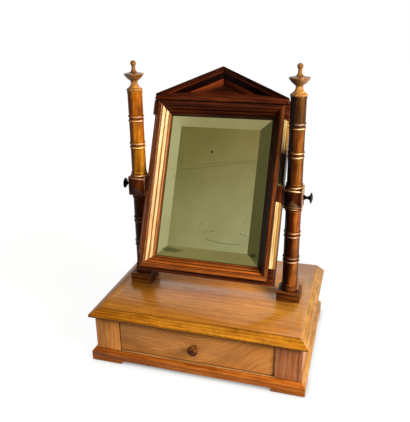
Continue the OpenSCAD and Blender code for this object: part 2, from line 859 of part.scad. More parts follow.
// The glass's section across one pair of its bevels
module bevel_section(low, high) {
    polygon([
        [-glass_back_w, low], [-glass_edge_w, low], [-glass_face_w, low + bevel_w],
        [-glass_face_w, high - bevel_w], [-glass_edge_w, high], [-glass_back_w, high]]);
}

module backboard() {
    color("burlywood") on_frame() slab(-glass_half, glass_half, glass_low, glass_high,
        glass_back_w - backboard_t, glass_back_w);
}

// Draws its children at each backboard pin, pointing out of the opening
module at_pins() {
    pin_w = glass_back_w - backboard_t - pin_d / 2;
    opening_x = sight_half + rebate;
    opening_z = sight_h / 2 + rebate;
    translate([0, -pin_w, sight_up]) {
        for (side = [left, right], i = [0 : pins_side - 1])
            translate([side * opening_x, 0, sight_h * ((i + 0.5) / pins_side - 0.5)])
                rotate([0, side * 90, 0]) children();
        for (end = [0, 180], i = [0 : pins_end - 1]) rotate([0, end, 0])
            translate([sight_w * ((i + 0.5) / pins_end - 0.5), 0, opening_z]) children();
    }
}

module backboard_pins() {
    color("dimgray") on_frame() at_pins() translate([0, 0, -pin_l / 2]) cylinder(d = pin_d, h = pin_l);
}

module pin_holes() {
    at_pins() translate([0, 0, -over]) cylinder(d = pin_d + 2 * pin_fit, h = pin_l / 2 + over + 0.5);
}

// The pivot block laps over the front and the outer edge of the stile
module pivot_block(side) {
    half = pivot_block_h / 2;
    color("sienna") on_frame() difference() {
        side_slab(side, mould_half, pivot_face, -half, half, back_w, pivot_block_w);
        side_slab(side, mould_half - over, frame_half, -half - over, half + over, back_w - over, glass_w);
        side_rod(side, frame_half - over, pivot_face + over, shank_d + 1);
    }
}

module pivot_washers() {
    color("gold") on_frame() for (side = [left, right]) difference() {
        side_rod(side, pivot_face, pivot_face + washer_t, washer_d);
        side_rod(side, pivot_face - over, pivot_face + washer_t + over, shank_d + 1);
    }
}

// A brass plate let into each stile, bored for the shank and for two screws
module nut_plates() {
    color("gold") on_frame() for (side = [left, right]) difference() {
        side_slab(side, nut_x, frame_half, -nut_h / 2, nut_h / 2, -nut_w / 2, glass_w);
        side_rod(side, nut_x - over, frame_half + over, shank_d + 2 * shank_gap);
        at_nut_screws() side_rod(side, nut_x - over, frame_half + over, nut_screw_d + 2 * pin_fit);
    }
}

module nut_plate_screws() {
    color("dimgray") on_frame() for (side = [left, right])
        at_nut_screws() side_rod(side, nut_x - nut_screw_l, frame_half, nut_screw_d);
}

// Draws its children at the two screws of a nut plate
module at_nut_screws() {
    for (z = [-nut_screw_z, nut_screw_z]) translate([0, -nut_mid_w, z]) children();
}

// Half the outline of a thumbscrew along its axis: radius, and distance out from the middle of the part
module thumbscrew_outline() {
    face = boss_out_x + bush_flange_t + 0.3;
    tip = boss_out_x + head_reach;
    neck_r = shank_d / 2 - 0.3;
    waist_r = 5.4;
    waist_x = face + 5.2;
    head_r = head_d / 2;
    dome_rise = 2.6;
    dome_r = (head_r * head_r + dome_rise * dome_rise) / (2 * dome_rise);
    polygon([[0, pivot_face - shank_in], [shank_d / 2 - 1, pivot_face - shank_in],
        [shank_d / 2, pivot_face - shank_in + 1], [shank_d / 2, face + 1], [0, face + 1]]);
    difference() {
        polygon([[0, face], [collar_d / 2, face], [collar_d / 2, face + 1.2], [collar_d / 2, waist_x],
            [head_r - 3.4, tip - dome_rise - 3], [head_r - 0.4, tip - dome_rise - 1.4],
            [head_r, tip - dome_rise - 0.9], [head_r, tip - dome_rise], [0, tip - dome_rise]]);
        translate([neck_r + waist_r, waist_x + 0.3]) circle(r = waist_r);
    }
    intersection() {
        translate([0, tip - dome_r]) circle(r = dome_r);
        translate([0, tip - dome_rise - 0.5]) square([head_r, dome_rise + 1]);
    }
}

module thumbscrew(side) {
    color("dimgray") on_frame() rotate([0, side * 90, 0]) rotate_extrude() thumbscrew_outline();
}

// Drawer

// The dovetails of a drawer side, seen from the side: each widens toward the front
module dovetail_row() {
    pitch = (drawer_side_high_z - drawer_low_z) / dovetails;
    end_half = pitch / 2 - 2.5;
    root_half = end_half - dovetail_l / 8;
    for (i = [0 : dovetails - 1]) translate([drawer_front_back_y, drawer_low_z + (i + 0.5) * pitch])
        polygon([
            [over, -root_half], [0, -root_half], [-dovetail_l, -end_half],
            [-dovetail_l, end_half], [0, root_half], [over, root_half]]);
}

// The dovetails of one side, from its inner face to a distance past its outer face
module dovetails_at(side, past) {
    length = drawer_side_t + past;
    translate([side * (drawer_half - drawer_side_t + length / 2), 0, 0]) run_x(length) dovetail_row();
}

module drawer_front() {
    color("peru") difference() {
        block(-drawer_half, drawer_half, drawer_face_y, drawer_front_back_y, drawer_low_z, drawer_high_z);
        block(-drawer_half + drawer_side_t - groove, drawer_half - drawer_side_t + groove,
            drawer_front_back_y - groove, drawer_front_back_y + over,
            drawer_board_z, drawer_board_z + drawer_bottom_t);
        for (side = [left, right]) dovetails_at(side, over);
        translate([0, drawer_front_back_y + over, knob_z]) rotate([90, 0, 0])
            cylinder(d = knob_dowel_d + 2 * pin_fit, h = front_t + 2 * over);
    }
}

module drawer_side(side) {
    inner = drawer_half - drawer_side_t;
    color("burlywood") difference() {
        union() {
            side_block(side, inner, drawer_half, drawer_front_back_y, drawer_back_y,
                drawer_low_z, drawer_side_high_z);
            dovetails_at(side, 0);
        }
        side_block(side, inner - over, inner + groove, drawer_front_back_y - groove, drawer_back_y + over,
            drawer_board_z, drawer_board_z + drawer_bottom_t);
    }
}

module drawer_back() {
    inner = drawer_half - drawer_side_t;
    color("burlywood") block(-inner, inner, drawer_back_y - drawer_back_t, drawer_back_y,
        drawer_board_z + drawer_bottom_t, drawer_side_high_z - drawer_side_drop);
}

module drawer_bottom() {
    half = drawer_half - drawer_side_t + groove;
    color("burlywood") block(-half, half, drawer_front_back_y - groove, drawer_back_y,
        drawer_board_z, drawer_board_z + drawer_bottom_t);
}

// Half the outline of the drawer knob: radius, and distance out from the drawer's face
module knob_outline() {
    r = knob_d / 2;
    polygon([[0, 0], [r * 0.62, 0], [r * 0.62, 1.6], [r * 0.5, 2.6], [r * 0.48, knob_l * 0.36],
        [r * 0.7, knob_l * 0.44], [r * 0.94, knob_l * 0.52], [r, knob_l * 0.62], [r, knob_l * 0.72],
        [r * 0.93, knob_l * 0.82], [r * 0.86, knob_l * 0.87], [r * 0.8, knob_l * 0.87],
        [r * 0.78, knob_l * 0.82], [r * 0.66, knob_l * 0.82], [r * 0.62, knob_l * 0.92],
        [r * 0.4, knob_l * 0.98], [0, knob_l]]);
}

module drawer_knob() {
    color("saddlebrown") translate([0, drawer_face_y, knob_z]) rotate([90, 0, 0]) {
        rotate_extrude() knob_outline();
        translate([0, 0, -front_t]) cylinder(d = knob_dowel_d, h = front_t + 0.5);
    }
}

top_panel();
top_edging_front();
top_edging_side(left);  // top_edging_left
top_edging_side(right);  // top_edging_right
side_panel(left);  // side_panel_left
side_panel(right);  // side_panel_right
back_panel();
bottom_board();
front_stile(left);  // front_stile_left
front_stile(right);  // front_stile_right
plinth_front();
plinth_side(left);  // plinth_left
plinth_side(right);  // plinth_right
foot(left, false);  // foot_front_left
foot(right, false);  // foot_front_right
foot(left, true);  // foot_back_left
foot(right, true);  // foot_back_right
drawer_guide(left);  // drawer_guide_left
drawer_guide(right);  // drawer_guide_right
drawer_stops();
glue_blocks();
base_block(left);  // base_block_left
base_block(right);  // base_block_right
column(left);  // column_left
column(right);  // column_right
finial(left);  // finial_left
finial(right);  // finial_right
boss_bushes();
column_screws();
back_rail_top();
back_rail_bottom();
back_stile(left);  // back_stile_left
back_stile(right);  // back_stile_right
moulding_top();
moulding_bottom();
moulding_side(left);  // moulding_left
moulding_side(right);  // moulding_right
side_reeds(left);  // side_reeds_left
side_reeds(right);  // side_reeds_right
tympanum();
cornice();
raking_cornice(left);  // raking_cornice_left
raking_cornice(right);  // raking_cornice_right
mirror_glass();
backboard();
backboard_pins();
pivot_block(left);  // pivot_block_left
pivot_block(right);  // pivot_block_right
pivot_washers();
nut_plates();
nut_plate_screws();
thumbscrew(left);  // thumbscrew_left
thumbscrew(right);  // thumbscrew_right
drawer_front();
drawer_side(left);  // drawer_side_left
drawer_side(right);  // drawer_side_right
drawer_back();
drawer_bottom();
drawer_knob();
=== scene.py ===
import json
from math import cos, radians, sin, tau

import bmesh
import bpy
from mathutils import Euler, Matrix, Vector


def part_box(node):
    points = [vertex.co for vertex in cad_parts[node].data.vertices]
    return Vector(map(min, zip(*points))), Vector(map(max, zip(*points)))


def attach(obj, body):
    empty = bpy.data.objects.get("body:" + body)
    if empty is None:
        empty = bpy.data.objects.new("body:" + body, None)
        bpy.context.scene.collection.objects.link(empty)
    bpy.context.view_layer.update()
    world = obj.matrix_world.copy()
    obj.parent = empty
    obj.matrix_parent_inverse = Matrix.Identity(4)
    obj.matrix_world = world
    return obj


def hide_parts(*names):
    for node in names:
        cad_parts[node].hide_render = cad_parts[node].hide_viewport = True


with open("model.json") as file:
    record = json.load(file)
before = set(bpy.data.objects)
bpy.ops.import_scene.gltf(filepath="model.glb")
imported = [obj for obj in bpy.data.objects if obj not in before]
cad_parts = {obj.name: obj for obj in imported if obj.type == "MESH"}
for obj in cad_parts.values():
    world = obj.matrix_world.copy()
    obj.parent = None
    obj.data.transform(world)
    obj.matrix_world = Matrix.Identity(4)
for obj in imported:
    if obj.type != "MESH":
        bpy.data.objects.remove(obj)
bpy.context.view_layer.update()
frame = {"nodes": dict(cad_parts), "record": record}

nodes = frame["nodes"]
record = frame["record"]
body_of_node = {node: body for body, members in record["behaviour"]["bodies"].items() for node in members}

# Places and directions of the mirror frame, in metres and degrees; the apex is that of the pediment
REST_TILT = 25.5
PIVOT = Vector((0, 0.00215, 0.322))
RAKE_ANGLE = 23.7
APEX_UP = 0.234
TILT = Matrix.Rotation(radians(-REST_TILT), 4, "X")
RIGHT = Vector((1, 0, 0))
UPRIGHT = Vector((0, 0, 1))
UP = TILT.to_3x3() @ UPRIGHT

# How a grain direction turns the X axis
GRAIN = {
    "x": Matrix.Identity(4),
    "y": Matrix.Rotation(radians(90), 4, "Z"),
    "z": Matrix.Rotation(radians(-90), 4, "Y"),
    "across": TILT,
    "up": TILT @ Matrix.Rotation(radians(-90), 4, "Y"),
    "rake_right": TILT @ Matrix.Rotation(radians(RAKE_ANGLE), 4, "Y"),
    "rake_left": TILT @ Matrix.Rotation(radians(-RAKE_ANGLE), 4, "Y"),
}


def srgb(red, green, blue):
    """A colour from its values on a screen, 0 to 255."""
    def linear(v):
        v /= 255
        return v / 12.92 if v <= 0.04045 else ((v + 0.055) / 1.055) ** 2.4
    return (linear(red), linear(green), linear(blue), 1)


def shaded(colour, factor, lift=0):
    """The colour made darker or lighter."""
    return tuple(min(1, value * factor + lift) for value in colour[:3]) + (1,)


class Graph:
    """A new material's nodes, with one short call for each kind that is used."""

    def __init__(self, name):
        self.material = bpy.data.materials.new(name)
        self.material.use_nodes = True
        self.tree = self.material.node_tree
        self.shader = self.tree.nodes["Principled BSDF"]

    def set(self, socket, value):
        if isinstance(value, bpy.types.NodeSocket):
            self.tree.links.new(value, socket)
        else:
            socket.default_value = value

    def node(self, kind, inputs, **settings):
        made = self.tree.nodes.new("ShaderNode" + kind)
        for key, value in settings.items():
            setattr(made, key, value)
        for key, value in inputs.items():
            self.set(made.inputs[key], value)
        return made

    def math(self, operation, *values, clamp=False):
        made = self.node("Math", {}, operation=operation, use_clamp=clamp)
        for socket, value in zip(made.inputs, values):
            self.set(socket, value)
        return made.outputs[0]

    def position(self):
        return self.node("TexCoord", {}).outputs["Object"]

    def turned(self, vector, matrix, place):
        """The vector measured from a place, in axes turned by a matrix."""
        settings = {"Vector": vector, "Location": place, "Rotation": matrix.to_euler()}
        return self.node("Mapping", settings, vector_type="TEXTURE").outputs[0]

    def stretched(self, vector, scale, shift=(0, 0, 0)):
        return self.node("Mapping", {"Vector": vector, "Scale": scale, "Location": shift}).outputs[0]

    def noise(self, vector, scale=1, detail=2, roughness=0.5):
        settings = {"Vector": vector, "Scale": scale, "Detail": detail, "Roughness": roughness}
        return self.node("TexNoise", settings).outputs["Fac"]

    def step(self, value, low, high):
        """0 under low, 1 over high and smooth between."""
        settings = {"Value": value, "From Min": low, "From Max": high}
        return self.node("MapRange", settings, interpolation_type="SMOOTHSTEP").outputs["Result"]

    def fall(self, value, low, high):
        """1 under low, 0 over high and smooth between."""
        return self.math("SUBTRACT", 1, self.step(value, low, high))

    def ramp(self, value, stops):
        made = self.node("ValToRGB", {"Fac": value})
        ends = made.color_ramp.elements
        while len(ends) < len(stops):
            ends.new(0.5)
        for end, (place, colour) in zip(ends, stops):
            end.position = place
            end.color = colour
        return made.outputs["Color"]

    def mix(self, share, first, second, blend="MIX"):
        made = self.node("Mix", {}, data_type="RGBA", blend_type=blend)
        self.set(made.inputs["Factor"], share)
        # Sockets 6 and 7 take the colours, and socket 2 gives the mixed one
        self.set(made.inputs[6], first)
        self.set(made.inputs[7], second)
        return made.outputs[2]

    def reach(self, point, direction):
        """Distance from a point along a direction, in metres."""
        along = self.node("VectorMath", {0: self.position(), 1: direction}, operation="DOT_PRODUCT")
        return self.math("SUBTRACT", along.outputs["Value"], Vector(point).dot(Vector(direction)))

    def nearest(self, value, places):
        """The distance from a value to the nearest of some places."""
        away = [self.math("ABSOLUTE", self.math("SUBTRACT", value, place)) for place in places]
        least = away[0]
        for other in away[1:]:
            least = self.math("MINIMUM", least, other)
        return least

    def crevice(self, distance):
        """1 where other surfaces stand close, 0 in the open."""
        shade = self.node("AmbientOcclusion", {"Distance": distance}, samples=8).outputs["AO"]
        return self.math("SUBTRACT", 1, shade)

    def arris(self, radius):
        """1 on an edge, 0 on the faces away from it."""
        rounded = self.node("Bevel", {"Radius": radius}, samples=6).outputs["Normal"]
        true = self.node("NewGeometry", {}).outputs["Normal"]
        dot = self.node("VectorMath", {0: rounded, 1: true}, operation="DOT_PRODUCT").outputs["Value"]
        return self.step(self.math("SUBTRACT", 1, dot), 0.02, 0.25)

    def bump(self, height, strength, distance):
        """A normal with fine relief, soft on the edges."""
        rounded = self.node("Bevel", {"Radius": 0.0004}, samples=4).outputs["Normal"]
        settings = {"Height": height, "Strength": strength, "Distance": distance, "Normal": rounded}
        return self.node("Bump", settings).outputs["Normal"]

    def surface(self, **values):
        """The material with its shader's inputs set; an underscore stands for a space in their names."""
        for key, value in values.items():
            self.set(self.shader.inputs[key.replace("_", " ")], value)
        return self.material


# Spans that hold a fine line, and the whole width of a moulding
LINE_SPAN = 0.004
MOULDING_SPAN = 0.03


def bands(point, direction, span, stops, places=None):
    """Shades over the wood by the distance along a direction, or by how near that is to some places."""
    def paint(g, colour):
        away = g.reach(point, direction)
        if places:
            away = g.nearest(away, places)
        shades = [(place / span, (*shade, 1)) for place, shade in stops]
        return g.mix(1.0, colour, g.ramp(g.math("DIVIDE", away, span), shades), "MULTIPLY")
    return paint


def rubbed_and_highlight_lines(point, direction, places, half, pale, share):
    """Pale lines where the dark polish is rubbed off, which also serve as painted highlights."""
    def paint(g, colour):
        away = g.nearest(g.reach(point, direction), places)
        line = g.fall(away, half * 0.6, half * 1.4)
        return g.mix(g.math("MULTIPLY", line, share), colour, pale)
    return paint


def grey(shade):
    return (shade, shade, shade)


def joint(point, direction, shade=0.25, width=0.0004):
    """A thin line where a board meets the next one, dark for old glue and dirt; other shades paint light
    there.
    """
    return bands(point, direction, LINE_SPAN, [(width, grey(shade)), (width * 2.2, grey(1))])


# Waves per metre of each noise in the wood, along its grain and across it
SWAY = (2.5, 14, 14)
STREAKS = (16, 430, 430)
FIBRES = (60, 1700, 1700)
PORES = (190, 2100, 2100)
SMEARS = (18, 30, 30)
# The year rings change slowly along the grain, and a wave texture of scale 1 has them this far apart
RINGS = (0.12, 1, 1)
UNIT_RINGS = 0.314
# The grain never runs quite true to a board
LEAN = Euler((0, radians(2.2), radians(1.6))).to_matrix().to_4x4()


def wood(name, along, heart, dark, mid, light, ring=0.007, figured=0.1, mottle=0.25, pores=0.5, matt=0.36,
         shine=0.12, coat=0.03, crevice_darkening=0.6, nook=0.006, edge_wear_and_glint=0.5, rub=0.0011, streaky=0.6, blotch=26,
         swirl=0.0, paints=(), seed=0.0):
    """Polished wood with its fibres along a grain direction and its rings round a heart line.

    ring is the width of a year ring and blotch the clouds' waves per metre. figured is the rings' share of
    the figure, and streaky that of rings and streaks together. matt is the roughness of the polish. nook
    and rub are how far the crevice darkening, dirt with painted shade, and the wear with painted highlights
    reach from corners and edges. swirl bends the grain and seed shifts it. The other numbers are strengths,
    where 0 is none.
    """
    g = Graph(name)
    grain = g.turned(g.position(), GRAIN[along] @ LEAN, heart)
    if swirl:
        axes = g.node("SeparateXYZ", {"Vector": grain}).outputs
        bend = g.math("MULTIPLY", g.math("MULTIPLY", axes["X"], g.step(axes["X"], -0.04, 0.13)), swirl)
        grain = g.node("CombineXYZ", {"X": axes["X"], "Y": axes["Y"],
                                      "Z": g.math("ADD", axes["Z"], bend)}).outputs[0]
    far = (seed * 3.1, seed * 1.7, seed * 2.3)
    sway = g.noise(g.stretched(grain, SWAY, far))
    rings = g.node("TexWave", {
        "Vector": g.stretched(grain, RINGS, far), "Scale": UNIT_RINGS / ring, "Distortion": 14,
        "Detail": 2.5, "Detail Scale": 0.35, "Detail Roughness": 0.55,
    }, wave_type="RINGS", rings_direction="X").outputs["Fac"]
    streaks = g.noise(g.stretched(grain, STREAKS, far), detail=3, roughness=0.6)
    fibres = g.noise(g.stretched(grain, FIBRES, far), roughness=0.65)

    # The four parts of the figure share it between them
    fibrous = 0.2
    figure = g.math("MULTIPLY", rings, figured)
    figure = g.math("ADD", figure, g.math("MULTIPLY", streaks, streaky - figured))
    figure = g.math("ADD", figure, g.math("MULTIPLY", fibres, fibrous))
    figure = g.math("ADD", figure, g.math("MULTIPLY", sway, 1 - fibrous - streaky))
    colour = g.ramp(figure, [(0.33, dark), (0.5, mid), (0.68, light)])

    clouds = g.noise(g.stretched(grain, (blotch * 0.4, blotch, blotch), far), detail=4, roughness=0.65)
    cloud_shade = g.ramp(clouds, [(0.3, (1 - mottle, 1 - mottle * 1.1, 1 - mottle * 1.2, 1)),
                                  (0.7, (1 + mottle * 0.5, 1 + mottle * 0.45, 1 + mottle * 0.4, 1))])
    colour = g.mix(1.0, colour, cloud_shade, "MULTIPLY")

    dashes = g.noise(g.stretched(grain, PORES, far), detail=1, roughness=0.4)
    pore = g.step(dashes, 0.6, 0.72)
    deep = shaded(dark, 0.32)
    colour = g.mix(g.math("MULTIPLY", pore, pores), colour, deep)

    facing = g.node("VectorMath", {0: g.node("TexCoord", {}).outputs["Normal"],
                                   1: GRAIN[along].to_3x3() @ RIGHT},
                    operation="DOT_PRODUCT").outputs["Value"]
    end_grain = g.step(g.math("ABSOLUTE", facing), 0.75, 0.95)
    colour = g.mix(g.math("MULTIPLY", end_grain, 0.45), colour, deep)

    for paint in paints:
        colour = paint(g, colour)

    # Pale arrises where handling wore the polish, which also stand for painted highlights on the edges
    handled_and_highlit = g.math("MULTIPLY", g.arris(rub), g.step(g.noise(grain, scale=70, detail=3), 0.3, 0.6))
    colour = g.mix(g.math("MULTIPLY", handled_and_highlit, edge_wear_and_glint), colour, shaded(light, 1.9, 0.02))
    # Crevices darkened toward the deep colour, as dirt and as painted shade
    crevice_mask = g.step(g.crevice(nook), 0.2, 0.75)
    colour = g.mix(g.math("MULTIPLY", crevice_mask, crevice_darkening), colour, deep)

    smear = g.noise(g.stretched(grain, SMEARS, far), detail=3, roughness=0.7)
    roughness = g.math("ADD", matt - 0.08, g.math("MULTIPLY", smear, 0.14))
    dull = g.math("MULTIPLY", g.math("MAXIMUM", pore, crevice_mask), 0.2)
    roughness = g.math("ADD", roughness, dull, clamp=True)
    height = g.math("SUBTRACT", g.math("MULTIPLY", fibres, 0.5), g.math("MULTIPLY", pore, 0.6))
    return g.surface(Base_Color=colour, Roughness=roughness, Normal=g.bump(height, 0.35, 0.00016),
                     Coat_Weight=coat, Coat_Roughness=0.2, Specular_IOR_Level=shine)


def finished(node, material, ease):
    """Puts a copy of a wooden CAD node with its arrises eased in the node's stead."""
    mesh = nodes[node].data.copy()
    mesh.name = node + "_finished"
    shape = bmesh.new()
    shape.from_mesh(mesh)
    bmesh.ops.remove_doubles(shape, verts=shape.verts, dist=1e-6)
    bmesh.ops.dissolve_limit(shape, angle_limit=radians(0.5), verts=shape.verts, edges=shape.edges)
    shape.to_mesh(mesh)
    shape.free()
    mesh.shade_smooth()
    piece = bpy.data.objects.new(node + "_finished", mesh)
    bpy.context.scene.collection.objects.link(piece)
    eased = piece.modifiers.new("eased arrises", "BEVEL")
    eased.width = ease
    eased.segments = 2
    eased.limit_method = "ANGLE"
    eased.angle_limit = radians(35)
    eased.harden_normals = True
    dress(piece, material)
    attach(piece, body_of_node[node])
    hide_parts(node)


def dress(piece, material):
    piece.data.materials.clear()
    piece.data.materials.append(material)


# The finish of each kind of wood: dark, middle and light colour. Some are lit and shaded copies of one
# wood with painted light and shade: pale is the edging and plinth painted lit on the right side; warm,
# cream and reed are the mirror frame's wood painted lighter as lit, and deep is it painted dark as the
# shade in the sunk tympanum
TONES = {
    "top": (srgb(118, 71, 18), srgb(143, 91, 28), srgb(162, 111, 42)),
    "edging": (srgb(84, 42, 6), srgb(146, 88, 15), srgb(182, 124, 36)),
    "pale": (srgb(118, 78, 38), srgb(154, 112, 62), srgb(178, 140, 88)),
    "front": (srgb(140, 86, 36), srgb(176, 115, 58), srgb(196, 140, 80)),
    "pink": (srgb(122, 70, 40), srgb(154, 96, 59), srgb(174, 120, 82)),
    "plinth": (srgb(98, 46, 9), srgb(140, 73, 19), srgb(170, 105, 42)),
    "column": (srgb(20, 7, 3), srgb(76, 36, 10), srgb(136, 82, 32)),
    "amber": (srgb(74, 32, 7), srgb(136, 82, 14), srgb(182, 132, 40)),
    "finial": (srgb(78, 42, 14), srgb(134, 88, 36), srgb(190, 145, 78)),
    "frame": (srgb(24, 7, 3), srgb(60, 22, 8), srgb(102, 44, 15)),
    "deep": (srgb(14, 4, 2), srgb(40, 14, 5), srgb(80, 32, 11)),
    "warm": (srgb(66, 25, 6), srgb(118, 56, 16), srgb(160, 92, 33)),
    "cream": (srgb(150, 110, 64), srgb(196, 168, 124), srgb(216, 199, 164)),
    "reed": (srgb(134, 88, 44), srgb(170, 124, 70), srgb(194, 156, 102)),
    "pine": (srgb(120, 84, 46), srgb(158, 118, 72), srgb(184, 146, 98)),
}


def tone_wood(name, tone, along, heart, **settings):
    return wood(name, along, heart, *TONES[tone], **settings)


# Edges of the glass, measured from the pivot, and the quirks between the reeds, measured out from there
SIGHT_TOP = 0.142
SIGHT_BOTTOM = 0.137
SIGHT_SIDE = 0.101
QUIRKS = (0, 0.0033, 0.0087, 0.0142, 0.0165, 0.0238)
# The inner end of the side strips and the lines between their reeds, measured out from there
STRIP_START = 0.1248
STRIP_LINES = (0, 0.003, 0.006, 0.009)
# Painted shade on the left moulding: its innermost and outermost reed, and its flat, darker than the lit
# cream
HONEY = (0.6, 0.35, 0.2)
RUST = (0.13, 0.042, 0.016)


def reeded(direction, sight, levels, quirk=grey(0.18)):
    """Painted light and shade on each reed and the flat of a moulding, and dark lines in its quirks."""
    edge = PIVOT + direction * sight
    blend = 0.0003
    stops = []
    for start, end, level in zip(QUIRKS, QUIRKS[1:], levels):
        stops += [(start + blend, level), (end - blend, level)]
    lines = [(0.0005, quirk), (0.0011, grey(1))]
    return [bands(edge, direction, MOULDING_SPAN, stops), bands(edge, direction, LINE_SPAN, lines, QUIRKS)]


def strip_lines(side):
    """Dark lines between the three reeds of a side strip."""
    lines = [(0.0002, grey(0.6)), (0.0009, grey(1))]
    return [bands((side * STRIP_START, 0, 0), RIGHT * side, LINE_SPAN, lines, STRIP_LINES)]


# Above the pivot the right side strip is painted dark as the column's shadow, and its inner reeds are
# painted paler as a highlight, with its outer reed browner
STRIP_SHADOW = bands(PIVOT, UP, 0.2, [
    (0, grey(1)), (0.02, grey(0.02)), (0.074, grey(0.02)), (0.086, grey(1))])
STRIP_HIGHLIGHT = bands((STRIP_START, 0, 0), RIGHT, 0.009, [
    (0.0045, (1.15, 1.6, 2.2)), (0.006, (0.7, 0.68, 0.5))])


def raked(side, level):
    """Painted light on the raking cornice: shade in its fillet and cove, highlights on its bead line and
    splay.
    """
    inward = GRAIN["rake_right" if side > 0 else "rake_left"].to_3x3() @ Vector((0, 0, -1))
    fillet = [(0, 0.3), (0.003, 0.3)]
    ridge = [(0.0036, 0.8), (0.0074, 0.8)]
    bead = [(0.008, 2.6), (0.0088, 2.2)]
    cove = [(0.0092, 0.1), (0.0192, 0.1)]
    splay = [(0.0202, 2.6), (0.027, 2.2), (0.0285, 0.5)]
    stops = [(place, grey(shade * level)) for place, shade in fillet + ridge + bead + cove + splay]
    return [bands(PIVOT + UP * APEX_UP, inward, MOULDING_SPAN, stops)]


def top_joints():
    """The joints between the top board and its mitred edging, with some painted light, for each of the four
    pieces.
    """
    low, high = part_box("top_panel")
    left_corner = low
    right_corner = Vector((high.x, low.y, 0))
    under_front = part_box("top_edging_front")[0]
    right_mitre = Vector((1, 1, 0)).normalized()
    left_mitre = Vector((-1, 1, 0)).normalized()
    forward = Vector((0, -1, 0))
    return {
        # The pale line at the top board's right edge is a painted highlight
        "top_panel": [joint(right_corner, -RIGHT, 1.5), joint(left_corner, RIGHT), joint(low, -forward)],
        # The dark line at the foot of the front edging is painted shadow under its overhang
        "top_edging_front": [joint(low, forward), joint(right_corner, -right_mitre),
                             joint(left_corner, -left_mitre), joint(under_front, UPRIGHT, 0.1, 0.001)],
        "top_edging_left": [joint(left_corner, -RIGHT), joint(left_corner, left_mitre)],
        # The pale lines at the right edging's joints are painted highlights
        "top_edging_right": [joint(right_corner, RIGHT, 1.6), joint(right_corner, right_mitre, 1.5)],
    }


def drawer_joints():
    """Dark lines just inside the edges of the drawer's front: painted shade of the gap round it."""
    low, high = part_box("drawer_front")
    line = [(0.0002, grey(1)), (0.0005, grey(0.3)), (0.0012, grey(0.3)), (0.002, grey(1))]
    edges = ((low, RIGHT), (high, -RIGHT), (low, UPRIGHT), (high, -UPRIGHT))
    return [bands(corner, inward, LINE_SPAN, line) for corner, inward in edges]


TOP_JOINTS = top_joints()
# Painted sheen on the top board: warmer at its front and greyer toward its back
TOP_SHEEN_PAINT = bands(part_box("top_panel")[0], (0, 1, 0), 0.3, [
    (0, (0.95, 0.9, 0.8)), (0.08, grey(0.95)), (0.2, (0.9, 0.95, 1))])


def painted_light_patch(g, colour):
    """A painted pool of light in the middle of the top board, under the mirror."""
    aside = g.math("ABSOLUTE", g.reach(PIVOT, RIGHT))
    patch = g.fall(aside, 0.07, 0.16)
    patch = g.math("MULTIPLY", patch, g.step(g.reach((0, -0.1, 0), (0, 1, 0)), 0, 0.07))
    return g.mix(patch, colour, g.mix(1.0, colour, (1.8, 1.6, 1.1, 1), "MULTIPLY"))


# Finishes that several pieces share
EDGE = dict(ring=0.006, pores=1.0, mottle=0.4, blotch=70, streaky=0.35)
BARE = dict(matt=0.62, coat=0.0, mottle=0.3)
PLINTH = dict(mottle=0.4, blotch=50, pores=0.6, edge_wear_and_glint=0.35, rub=0.0018)
MOULD = dict(nook=0.0025, crevice_darkening=0.9, edge_wear_and_glint=0.7)
RAKE = dict(MOULD, coat=0.0, shine=0.04)

